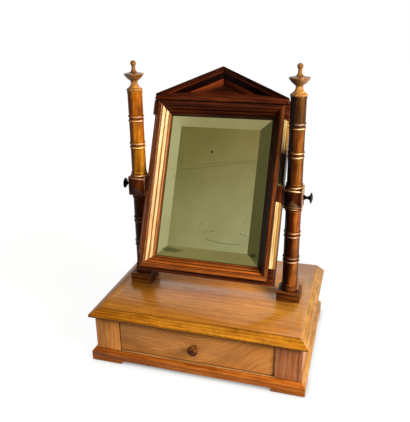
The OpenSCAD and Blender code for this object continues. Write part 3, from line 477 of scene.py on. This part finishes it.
# Which wood, grain direction and finish each wooden piece has
BOARDS = {
    "top_panel": ("top", "x", dict(pores=0.7, mottle=0.2, blotch=60, streaky=0.45, matt=0.4, shine=0.15,
                                   coat=0.65, edge_wear_and_glint=0.0,
                                   paints=TOP_JOINTS["top_panel"] + [TOP_SHEEN_PAINT, painted_light_patch])),
    "top_edging_front": ("edging", "x", dict(EDGE, paints=TOP_JOINTS["top_edging_front"])),
    "top_edging_left": ("edging", "y", dict(EDGE, paints=TOP_JOINTS["top_edging_left"])),
    # The right edging has the pale tone: painted light on its lit side
    "top_edging_right": ("pale", "y", dict(EDGE, paints=TOP_JOINTS["top_edging_right"])),
    "side_panel_left": ("front", "y", {}),
    "side_panel_right": ("front", "y", {}),
    "front_stile_left": ("front", "z", dict(mottle=0.3)),
    "front_stile_right": ("pink", "z", dict(mottle=0.3)),
    "drawer_front": ("front", "x", dict(ring=0.004, figured=0.08, mottle=0.2, pores=0.6, swirl=-0.7,
                                      paints=drawer_joints())),
    "plinth_front": ("plinth", "x", PLINTH),
    "plinth_left": ("plinth", "y", PLINTH),
    # The plinth's right side has the pale tone: painted light
    "plinth_right": ("pale", "y", PLINTH),
    "foot_front_left": ("plinth", "x", {}),
    "foot_front_right": ("plinth", "x", {}),
    "foot_back_left": ("plinth", "x", {}),
    "foot_back_right": ("plinth", "x", {}),
    "base_block_left": ("column", "x", dict(mottle=0.5)),
    "base_block_right": ("column", "x", dict(mottle=0.5, edge_wear_and_glint=0.9)),
    "back_panel": ("pine", "x", dict(BARE, ring=0.005)),
    "bottom_board": ("pine", "x", BARE),
    "drawer_guide_left": ("pine", "y", BARE),
    "drawer_guide_right": ("pine", "y", BARE),
    "drawer_stops": ("pine", "y", BARE),
    "glue_blocks": ("pine", "y", BARE),
    "drawer_side_left": ("pine", "y", BARE),
    "drawer_side_right": ("pine", "y", BARE),
    "drawer_back": ("pine", "x", BARE),
    "drawer_bottom": ("pine", "x", dict(BARE, ring=0.008)),
    "backboard": ("pine", "up", dict(BARE, ring=0.008)),
    "back_rail_top": ("frame", "across", {}),
    "back_rail_bottom": ("frame", "across", {}),
    "back_stile_left": ("frame", "up", {}),
    "back_stile_right": ("frame", "up", {}),
    # Levels paint light on the mouldings: dark where they face down or left, pale where they face the light
    "moulding_top": ("frame", "across", dict(MOULD, paints=reeded(
        UP, SIGHT_TOP, (grey(1.1), grey(1.5), grey(1.6), grey(2.2), grey(0.7))))),
    "moulding_bottom": ("warm", "across", dict(MOULD, paints=reeded(
        -UP, SIGHT_BOTTOM, (grey(0.85), grey(1), grey(1.4), grey(2), grey(1))))),
    "moulding_left": ("cream", "up", dict(MOULD, paints=reeded(
        -RIGHT, SIGHT_SIDE, (HONEY, grey(1), grey(1), HONEY, RUST), quirk=(0.32, 0.17, 0.07)))),
    "moulding_right": ("frame", "up", dict(MOULD, paints=reeded(
        RIGHT, SIGHT_SIDE, (grey(0.3), grey(0.25), grey(0.35), (1.6, 1.8, 1.6), (2.3, 3.1, 2.5))))),
    # The side strips have tones painted as lit, the right one brightest
    "side_reeds_left": ("warm", "up", dict(MOULD, edge_wear_and_glint=0.2, paints=strip_lines(-1))),
    "side_reeds_right": ("reed", "up", dict(MOULD, crevice_darkening=0.5, edge_wear_and_glint=0.2, figured=0.0, pores=0.1, coat=0.0,
                                           shine=0.03, paints=strip_lines(1) + [STRIP_HIGHLIGHT, STRIP_SHADOW])),
    "pivot_block_left": ("frame", "up", {}),
    "pivot_block_right": ("frame", "up", {}),
    # The sunk tympanum has the deep tone: painted shade
    "tympanum": ("deep", "across", dict(crevice_darkening=0.9, mottle=0.5, coat=0.0, shine=0.05)),
    "cornice": ("frame", "across", dict(MOULD, edge_wear_and_glint=0.9)),
    # The rakes' levels paint light: the right rake darker, as in shade
    "raking_cornice_left": ("frame", "rake_left", dict(RAKE, paints=raked(-1, 0.85))),
    "raking_cornice_right": ("frame", "rake_right", dict(RAKE, paints=raked(1, 0.55))),
}
# Mouldings and shaped pieces whose small faces allow only a fine arris
FINE = ("moulding", "side_reeds", "raking", "cornice", "plinth", "pivot", "glue", "drawer_stops")
FINE_ARRIS = 0.00025
ARRIS = 0.0007
# How far under its board and how far beside its middle the heart of the tree lies
HEART_UNDER = 0.055
HEART_ASIDE = 0.012

for index, (node, (tone, along, settings)) in enumerate(BOARDS.items()):
    low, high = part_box(node)
    aside = HEART_ASIDE * (index % 3 - 1)
    heart = (low + high) / 2 + GRAIN[along].to_3x3() @ Vector((0, aside, -HEART_UNDER))
    board = tone_wood(node, tone, along, heart, seed=1 + index, **settings)
    finished(node, board, FINE_ARRIS if node.startswith(FINE) else ARRIS)

# Heights of the paired beads on the columns, and the shades by the distance from a pair's middle: dark
# lines between and beside the beads, and the beads painted pale as a highlight
PAIRS = (0.197, 0.249, 0.4028, 0.4548)
HALF_PAIR = 0.0038
BEADS = [pair + side * HALF_PAIR for pair in PAIRS for side in (-1, 1)]
BEADED = [(0.0014, grey(0.4)), (0.0024, grey(1.2)), (0.0053, grey(1.2)), (0.0062, grey(0.2)),
          (0.0075, grey(1))]
# The same from the middle of the boss, which is painted darker, with its collars painted pale
BOSSED = [(0.0171, (0.32, 0.25, 0.35)), (0.0188, grey(0.12)), (0.0195, grey(1.2)), (0.0222, grey(1.2)),
          (0.0228, grey(0.2)), (0.0238, grey(1))]
# The boss's collars and the border round its diamond, measured from the boss's middle
COLLAR_UP = 0.0208
COLLARS = (PIVOT.z - COLLAR_UP, PIVOT.z + COLLAR_UP)
BORDER_UP = 0.0158
BORDER_ASIDE = 0.0165
# How far left of its middle the painted shading across a column begins, and that across a finial
COLUMN_SIDE = 0.018
FINIAL_SIDE = 0.019
# The floor, from which heights are measured
FLOOR = Vector((0, 0, 0))


def painted_reflection_facet(middle, pale):
    """The lowest facet of the boss's diamond painted paler: a painted reflection of the bright top below
    it.
    """
    def paint(g, colour):
        down = g.reach(middle, -UPRIGHT)
        aside = g.math("ABSOLUTE", g.reach(middle, RIGHT))
        facet = g.step(g.math("SUBTRACT", down, aside), 0, 0.0012)
        above = g.fall(down, BORDER_UP - 0.0012, BORDER_UP - 0.0008)
        facet = g.math("MULTIPLY", facet, above)
        return g.mix(g.math("MULTIPLY", facet, 0.8), colour, pale)
    return paint


def turned_finish(node, painted_side_shading, painted_height_shading):
    """A column's finish: wear on its beads and boss, and painted light and shade across it and up it."""
    low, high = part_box(node)
    middle = Vector(((low.x + high.x) / 2, 0, PIVOT.z))
    pale = srgb(200, 160, 132)
    paints = [
        bands(FLOOR, UPRIGHT, 0.012, BEADED, PAIRS),
        bands(FLOOR, UPRIGHT, 0.04, BOSSED, (PIVOT.z,)),
        rubbed_and_highlight_lines(FLOOR, UPRIGHT, (*BEADS, *COLLARS), 0.0008, pale, 0.6),
        rubbed_and_highlight_lines(middle, RIGHT, (-BORDER_ASIDE, BORDER_ASIDE), 0.0008, pale, 0.7),
        rubbed_and_highlight_lines(middle, UPRIGHT, (-BORDER_UP, BORDER_UP), 0.0009, pale, 0.7),
        painted_reflection_facet(middle, srgb(92, 72, 60)),
        bands(middle - RIGHT * COLUMN_SIDE, RIGHT, 2 * COLUMN_SIDE, painted_side_shading),
        bands(FLOOR, UPRIGHT, 0.55, painted_height_shading),
    ]
    return dict(mottle=0.6, blotch=70, streaky=0.45, ring=0.011, crevice_darkening=0.9, nook=0.004, matt=0.34, edge_wear_and_glint=0.4,
                rub=0.002, coat=0.0, shine=0.08, paints=paints)


# Left column: painted shade at its left, a highlight at its right, and the mirror's painted shadow below
# the boss
LEFT_COLUMN = turned_finish(
    "column_left",
    painted_side_shading=[
        (0, (0.2, 0.1, 0.1)), (0.007, (0.4, 0.25, 0.2)), (0.012, (0.65, 0.52, 0.45)),
        (0.018, (1.1, 1.05, 1)), (0.026, (1.65, 1.85, 1.7)), (0.03, (2, 2.2, 2.4)), (0.033, (1, 0.9, 0.8))],
    painted_height_shading=[
        (0.15, (0.15, 0.1, 0.1)), (0.2, (0.1, 0.06, 0.08)), (0.305, (0.1, 0.06, 0.08)),
        (0.31, (0.5, 0.35, 0.5)), (0.34, (0.5, 0.35, 0.5)), (0.345, (1, 1.05, 0.8)), (0.4, (1, 1.05, 0.8)),
        (0.405, (0.9, 0.82, 0.8)), (0.453, (0.9, 0.8, 0.8)), (0.457, (0.8, 0.62, 0.75))])
# Right column: painted shade on its left third and a painted highlight right of its middle
RIGHT_COLUMN = turned_finish(
    "column_right",
    painted_side_shading=[
        (0, (0.04, 0.03, 0.03)), (0.0105, (0.06, 0.04, 0.04)), (0.0145, (0.4, 0.32, 0.26)),
        (0.02, (1.1, 1.05, 0.9)), (0.025, (1.9, 2.3, 2.2)), (0.029, (1.7, 1.9, 1.8)),
        (0.032, (0.6, 0.5, 0.45))],
    painted_height_shading=[
        (0.19, (0.95, 0.85, 0.85)), (0.2, (0.68, 0.62, 0.75)), (0.246, (0.68, 0.62, 0.75)),
        (0.252, (1.05, 0.88, 0.8)), (0.3, (1.05, 0.88, 0.8)), (0.345, (1.1, 1.2, 1)), (0.4, (1.1, 1.2, 1)),
        (0.453, (1.05, 1.05, 0.9)), (0.457, (0.6, 0.8, 1.05))])


def finial_finish(node):
    """Painted shade at the left, on the neck and spire with its ball, painted light on the cup, and
    livelier gloss.
    """
    low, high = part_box(node)
    middle = (low + high) / 2
    painted_side_shading = [(0, (0.3, 0.22, 0.2)), (0.012, (0.55, 0.45, 0.4)), (0.018, grey(1)), (0.03, grey(1.4))]
    neck = [(0, (0.7, 0.72, 0.95)), (0.013, (0.8, 0.8, 1))]
    cup = [(0.019, grey(1.2)), (0.028, grey(1.2))]
    spire = [(0.034, (0.6, 0.52, 0.52))]
    paints = [
        bands(middle - RIGHT * FINIAL_SIDE, RIGHT, 2 * FINIAL_SIDE, painted_side_shading),
        bands(low, UPRIGHT, high.z - low.z, neck + cup + spire),
    ]
    return dict(mottle=0.3, blotch=60, pores=0.2, crevice_darkening=0.9, nook=0.004, matt=0.24, coat=0.4, shine=0.2,
                edge_wear_and_glint=0.9, paints=paints)


# Turned pieces keep the CAD's own smooth meshes
TURNED = {
    "column_left": ("amber", "z", LEFT_COLUMN),
    "column_right": ("column", "z", RIGHT_COLUMN),
    "finial_left": ("finial", "z", finial_finish("finial_left")),
    "finial_right": ("finial", "z", finial_finish("finial_right")),
    "drawer_knob": ("column", "y", dict(mottle=0.3, crevice_darkening=1.0, nook=0.004, edge_wear_and_glint=1.0, rub=0.0018)),
}
# They are cut from beside the heart of the tree
BESIDE_HEART = Vector((0.021, 0.034, 0.004))
FIRST_TURNED_SEED = 61

for index, (node, (tone, along, settings)) in enumerate(TURNED.items()):
    low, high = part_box(node)
    heart = (low + high) / 2 + BESIDE_HEART
    dress(nodes[node], tone_wood(node, tone, along, heart, seed=FIRST_TURNED_SEED + index, **settings))


def metal(name, colour, worn_colour, roughness):
    """Handled metal: patches of tarnish, fine scratches and brighter rubbed edges."""
    g = Graph(name)
    place = g.position()
    patches = g.step(g.noise(place, scale=160, detail=5, roughness=0.65), 0.35, 0.7)
    dull = shaded(colour, 0.35)
    shade = g.mix(g.math("MULTIPLY", patches, 0.6), colour, dull)
    shade = g.mix(g.math("MULTIPLY", g.arris(0.0006), 0.6), shade, worn_colour)
    crevice_mask = g.step(g.crevice(0.003), 0.3, 0.8)
    shade = g.mix(g.math("MULTIPLY", crevice_mask, 0.7), shade, dull)
    scratches = g.noise(g.stretched(place, (600, 600, 5200)), detail=2)
    rough = g.math("ADD", roughness, g.math("MULTIPLY", patches, 0.18))
    rough = g.math("ADD", rough, g.math("MULTIPLY", g.step(scratches, 0.55, 0.75), 0.12), clamp=True)
    normal = g.bump(scratches, 0.15, 0.00004)
    return g.surface(Base_Color=shade, Metallic=1, Roughness=rough, Normal=normal)


# Each metal's colour, colour where it is rubbed, roughness and nodes
METALS = {
    "dark_bronze": (srgb(44, 40, 36), srgb(120, 112, 98), 0.3, ("thumbscrew_left", "thumbscrew_right")),
    "aged_brass": (srgb(168, 128, 66), srgb(214, 178, 108), 0.34,
                   ("boss_bushes", "pivot_washers", "nut_plates")),
    "dull_steel": (srgb(110, 106, 100), srgb(176, 172, 164), 0.38,
                   ("column_screws", "backboard_pins", "nut_plate_screws")),
}
for name, (colour, worn_colour, roughness, pieces) in METALS.items():
    finish = metal(name, colour, worn_colour, roughness)
    for node in pieces:
        dress(nodes[node], finish)


# Flaws of the mirror, across and up from the pivot. Spots where the silvering has gone, with their radius
SPOTS = [(-0.0112, 0.073, 0.0026), (-0.0813, 0.0204, 0.0013), (-0.0673, 0.0202, 0.0012),
         (-0.017, -0.0666, 0.001), (0.0626, -0.0796, 0.0012), (0.0704, -0.0807, 0.0012),
         (0.0689, -0.0582, 0.001)]
# Scratches: first end, last end, bow between them, half width and depth of shade
SCRATCHES = [((-0.0052, -0.0949), (0.0634, -0.0985), -0.0036, 0.0005, 0.75),
             ((-0.0105, -0.0845), (-0.0025, -0.0785), 0.0, 0.0006, 0.6),
             ((0.0015, -0.0815), (0.0115, -0.077), 0.0, 0.0006, 0.6),
             ((-0.0765, 0.0329), (0.0802, 0.0602), 0.0, 0.0014, 0.17),
             ((-0.039, 0.0464), (0.08, 0.0627), 0.0, 0.0011, 0.13)]
# Damp stains: middle, half width and half height
STAINS = [(-0.0692, -0.1235, 0.024, 0.0055), (0.0902, -0.1171, 0.009, 0.004)]


def old_mirror(name):
    """Silvered glass that has aged: an olive cast, clouds, black spots, scratches and damp stains."""
    g = Graph(name)
    place = g.turned(g.position(), TILT, PIVOT)
    clouds = g.noise(place, scale=14, detail=4, roughness=0.6)
    tint = g.ramp(clouds, [(0.3, srgb(176, 172, 130)), (0.7, srgb(190, 186, 146))])
    axes = g.node("SeparateXYZ", {"Vector": place})
    across, up = axes.outputs["X"], axes.outputs["Z"]

    def away(x, z, width=1, height=1):
        """Distance from a point, where the width and the height may count less."""
        side = g.math("DIVIDE", g.math("SUBTRACT", across, x), width)
        rise = g.math("DIVIDE", g.math("SUBTRACT", up, z), height)
        return g.math("SQRT", g.math("ADD", g.math("POWER", side, 2), g.math("POWER", rise, 2)))

    for x, z, radius in SPOTS:
        spot = g.fall(away(x, z), radius * 0.5, radius * 1.2)
        tint = g.mix(spot, tint, srgb(24, 20, 12))

    for (x0, z0), (x1, z1), bow, half, shade in SCRATCHES:
        share = g.math("DIVIDE", g.math("SUBTRACT", across, x0), x1 - x0, clamp=True)
        ease = g.math("MULTIPLY", g.math("MULTIPLY", share, g.math("SUBTRACT", 1, share)), 4)
        line = g.math("ADD", g.math("MULTIPLY", share, z1 - z0), g.math("MULTIPLY", ease, bow))
        off = g.math("ABSOLUTE", g.math("SUBTRACT", up, g.math("ADD", line, z0)))
        mark = g.fall(off, half * 0.4, half * 1.6)
        mark = g.math("MULTIPLY", mark, g.step(ease, 0.0, 0.1))
        tint = g.mix(g.math("MULTIPLY", mark, shade), tint, srgb(44, 40, 24))

    for x, z, width, height in STAINS:
        ragging = g.math("MULTIPLY", g.noise(place, scale=120, detail=4), 0.8)
        ragged = g.math("ADD", away(x, z, width, height), ragging)
        stain = g.fall(ragged, 0.9, 1.5)
        tint = g.mix(g.math("MULTIPLY", stain, 0.6), tint, srgb(56, 70, 50))

    specks = g.node("TexVoronoi", {"Vector": place, "Scale": 95, "Randomness": 1}).outputs["Distance"]
    rare = g.step(g.noise(place, scale=30), 0.58, 0.66)
    speck = g.math("MULTIPLY", g.fall(specks, 0.03, 0.07), rare)
    tint = g.mix(g.math("MULTIPLY", speck, 0.75), tint, srgb(60, 56, 36))

    smears = g.noise(place, scale=22, detail=5, roughness=0.7)
    rough = g.math("ADD", 0.03, g.math("MULTIPLY", smears, 0.05))
    return g.surface(Base_Color=tint, Metallic=1.0, Roughness=rough, Coat_Weight=0.25, Coat_Roughness=0.02)


dress(nodes["mirror_glass"], old_mirror("old_mirror_glass"))

# Studio: a pale floor and ring of backdrop, four soft lamps, three cards for gloss and two black cloths
BACKDROP_RADIUS = 6
BACKDROP_TOP = 2.7
BACKDROP_SIDES = 96
# Strengths: the dim surround, the floor where it is seen and what it gains far away, the light that the
# cards give, and the key lamp's card in gloss
SURROUND = 0.06
FLOOR_GLOW = 1.12
FAR_GAIN = 0.14
CARD_LIGHT = 0.12
KEY_GLOSS = 1.8
WHITE = (1, 1, 1, 1)
LAMP_WHITE = (1, 0.96, 0.88, 1)
SOFT_WHITE = (1, 0.97, 0.92)
# The olive card's colours at its left and its right, above and below, and the four that its edges show
CARD_ABOVE = ((0.285, 0.257, 0.115, 1), (0.46, 0.39, 0.215, 1))
CARD_BELOW = ((0.49, 0.475, 0.295, 1), (0.66, 0.67, 0.54, 1))
CARD_TOP = (0.6, 0.55, 0.4, 1)
CARD_FOOT = (0.44, 0.4, 0.235, 1)
CARD_LEFT = (0.83, 0.84, 0.68, 1)
CARD_RIGHT = (0.17, 0.165, 0.09, 1)


def seen_ray(g):
    """1 for the rays that show the background: those of the camera, of gloss and of glass."""
    path = g.node("LightPath", {})
    direct = g.math("ADD", path.outputs["Is Camera Ray"], path.outputs["Is Glossy Ray"])
    return g.math("ADD", direct, path.outputs["Is Transmission Ray"], clamp=True)


def floor_material():
    """Nearly white where it is seen, painted darker as contact shadow close under the object, and with its
    soft shadow.
    """
    g = Graph("pale_floor")
    away = g.node("VectorMath", {0: g.position()}, operation="LENGTH").outputs["Value"]
    level = g.math("ADD", FLOOR_GLOW, g.math("MULTIPLY", g.step(away, 0.5, 2.2), FAR_GAIN))
    # Painted contact shadow: the glow darkens where the object stands close above
    painted_contact_shadow = g.math("SUBTRACT", 1, g.math("MULTIPLY", g.step(g.crevice(0.03), 0.1, 0.9), 0.75))
    level = g.math("MULTIPLY", level, painted_contact_shadow)
    glow = g.node("Emission", {"Color": WHITE, "Strength": level})
    seen = seen_ray(g)
    colour = g.mix(seen, srgb(140, 138, 134), srgb(196, 196, 194))
    g.surface(Base_Color=colour, Roughness=0.9, Specular_IOR_Level=0.1)
    both = g.node("MixShader", {"Fac": g.math("MULTIPLY", seen, 0.8)})
    g.tree.links.new(g.shader.outputs[0], both.inputs[1])
    g.tree.links.new(glow.outputs[0], both.inputs[2])
    g.tree.links.new(both.outputs[0], g.tree.nodes["Material Output"].inputs["Surface"])
    return g.material


def glowing(name, colour, strength):
    """A material that only glows; its colour and strength may come from nodes of its graph."""
    g = Graph(name)
    glow = g.node("Emission", {"Color": colour(g), "Strength": strength(g)})
    g.tree.links.new(glow.outputs[0], g.tree.nodes["Material Output"].inputs["Surface"])
    return g.material


def backdrop_strength(g):
    """White where it is seen, fading to the dim surround at its upper edge."""
    height = g.node("SeparateXYZ", {"Vector": g.position()}).outputs["Z"]
    fade = g.fall(height, BACKDROP_TOP * 0.75, BACKDROP_TOP)
    seen = g.math("MULTIPLY", fade, seen_ray(g))
    return g.math("ADD", SURROUND, g.math("MULTIPLY", seen, 1 - SURROUND))


def sheet(name, corners, faces, material):
    mesh = bpy.data.meshes.new(name)
    mesh.from_pydata(corners, [], faces)
    made = bpy.data.objects.new(name, mesh)
    bpy.context.scene.collection.objects.link(made)
    dress(made, material)
    return made


def ring(height):
    """The corners of the backdrop at a height."""
    turns = [tau * i / BACKDROP_SIDES for i in range(BACKDROP_SIDES)]
    return [(BACKDROP_RADIUS * cos(turn), BACKDROP_RADIUS * sin(turn), height) for turn in turns]


def backdrop():
    count = BACKDROP_SIDES
    faces = [(i, (i + 1) % count, count + (i + 1) % count, count + i) for i in range(count)]
    sheet("backdrop", ring(0) + ring(BACKDROP_TOP), faces,
          glowing("white_backdrop", lambda g: WHITE, backdrop_strength))
    sheet("floor", ring(0), [tuple(range(count))], floor_material())


def card_colour(g):
    """Olive, greyer and lighter downward and to the right.

    The glass's bevels show what lies past its edges: paler at the left and the top, dark at the right.
    """
    axes = g.node("SeparateXYZ", {"Vector": g.position()}).outputs
    down = g.fall(axes["Z"], 1.1, 2.1)
    side = g.step(axes["X"], -1.0, -0.3)
    colour = g.mix(down, g.mix(side, *CARD_ABOVE), g.mix(side, *CARD_BELOW))
    colour = g.mix(g.step(axes["Z"], 2.1, 2.4), colour, CARD_TOP)
    colour = g.mix(g.fall(axes["Z"], 0.87, 1.1), colour, CARD_FOOT)
    colour = g.mix(g.fall(axes["X"], -1.17, -0.97), colour, CARD_LEFT)
    return g.mix(g.step(axes["X"], -0.3, -0.1), colour, CARD_RIGHT)


def hidden_card(name, corners, material):
    """A card that the camera doesn't see and that throws no shadow."""
    card = sheet(name, corners, [(0, 1, 2, 3)], material)
    card.visible_camera = False
    card.visible_shadow = False
    return card


def upright(start, end, low, high):
    """The corners of a card that stands upright between two points of the floor plan."""
    return [(*start, low), (*end, low), (*end, high), (*start, high)]


def lying(left, right, front, back, height):
    """The corners of a cloth that lies flat."""
    return [(left, front, height), (right, front, height), (right, back, height), (left, back, height)]


def card_strength(g):
    """A card that shows in gloss, but hardly lights the object."""
    return g.math("ADD", CARD_LIGHT, g.math("MULTIPLY", seen_ray(g), 1 - CARD_LIGHT))


def key_strength(g):
    """The card that stands for the key lamp shows only in gloss."""
    return g.math("MULTIPLY", seen_ray(g), KEY_GLOSS)


def sheen_strength(g):
    """The card behind the object fades out toward its edges."""
    axes = g.node("SeparateXYZ", {"Vector": g.position()}).outputs
    sides = g.fall(g.math("ABSOLUTE", g.math("ADD", axes["X"], 0.3)), 1.0, 1.7)
    top = g.fall(axes["Z"], 2.1, 3.0)
    height = g.math("MULTIPLY", g.step(axes["Z"], 0.9, 1.3), top)
    return g.math("MULTIPLY", g.math("MULTIPLY", sides, height), card_strength(g))


backdrop()
# The mirror reflects a dim olive card behind the camera, and the top board a white one behind the object
hidden_card("front_card", upright((-2.1, -2), (0.6, -2), low=0.5, high=3.2),
            glowing("olive_card", card_colour, card_strength))
hidden_card("sheen_card", upright((-2.0, 2.2), (1.4, 2.2), low=0.9, high=3.0),
            glowing("white_card", lambda g: WHITE, sheen_strength))
# In gloss the key lamp shows as a softer card
hidden_card("key_card", upright((1.69, -1.31), (2.11, -0.29), low=0.6, high=1.7),
            glowing("bright_card", lambda g: LAMP_WHITE, key_strength))
# Black cloths keep the shaded sides dark. One stands at the left, unseen in gloss, and one lies in front
black_cloth = Graph("black_cloth").surface(Base_Color=srgb(14, 14, 14), Roughness=1, Specular_IOR_Level=0)
left_cloth = hidden_card("left_cloth", upright((-0.62, -0.7), (-0.62, 0.8), low=0, high=1.3), black_cloth)
left_cloth.visible_glossy = False
hidden_card("floor_cloth", lying(-0.9, 0.7, -1.7, -0.24, height=0.001), black_cloth)

world = bpy.data.worlds.new("dim_surround")
bpy.context.scene.world = world
world.use_nodes = True
world.node_tree.nodes["Background"].inputs["Color"].default_value = WHITE
world.node_tree.nodes["Background"].inputs["Strength"].default_value = SURROUND


def lamp(name, size, watts, direction, distance, colour):
    """A square soft lamp that isn't seen in gloss, aimed at the middle of the object."""
    aim = Vector((0, 0, 0.25))
    data = bpy.data.lights.new(name, "AREA")
    data.size = size
    data.energy = watts
    data.color = colour
    made = bpy.data.objects.new(name, data)
    bpy.context.scene.collection.objects.link(made)
    away = Vector(direction).normalized() * distance
    made.location = aim + away
    made.rotation_euler = away.to_track_quat("Z", "Y").to_euler()
    made.visible_glossy = False


lamp("key", size=1.1, watts=98, direction=(0.86, -0.36, 0.44), distance=2.0, colour=LAMP_WHITE[:3])
lamp("overhead", size=1.6, watts=8, direction=(0.25, -0.2, 1.0), distance=2.2, colour=SOFT_WHITE)
lamp("front", size=1.4, watts=46, direction=(0.1, -1.0, 0.75), distance=2.6, colour=(1, 0.95, 0.86))
lamp("back", size=1.6, watts=40, direction=(-0.5, 1.0, 0.4), distance=2.6, colour=SOFT_WHITE)

# Camera, placed by fitting the photograph: its lens in millimetres, its place, and its turns in degrees
LENS = 45.89
CAMERA_PLACE = (0.26814, -0.94555, 0.65282)
CAMERA_TURN = 16.83
CAMERA_PITCH = -20.79
CAMERA_ROLL = 0.74

camera_data = bpy.data.cameras.new("camera")
camera_data.lens = LENS
camera = bpy.data.objects.new("camera", camera_data)
bpy.context.scene.collection.objects.link(camera)
camera.matrix_world = (
    Matrix.Translation(CAMERA_PLACE)
    @ Matrix.Rotation(radians(CAMERA_TURN), 4, "Z")
    @ Matrix.Rotation(radians(CAMERA_PITCH), 4, "X")
    @ Matrix.Rotation(radians(CAMERA_ROLL), 4, "Y")
    @ Matrix.Rotation(radians(90), 4, "X")
)
bpy.context.scene.camera = camera
bpy.context.scene.view_settings.view_transform = "Standard"
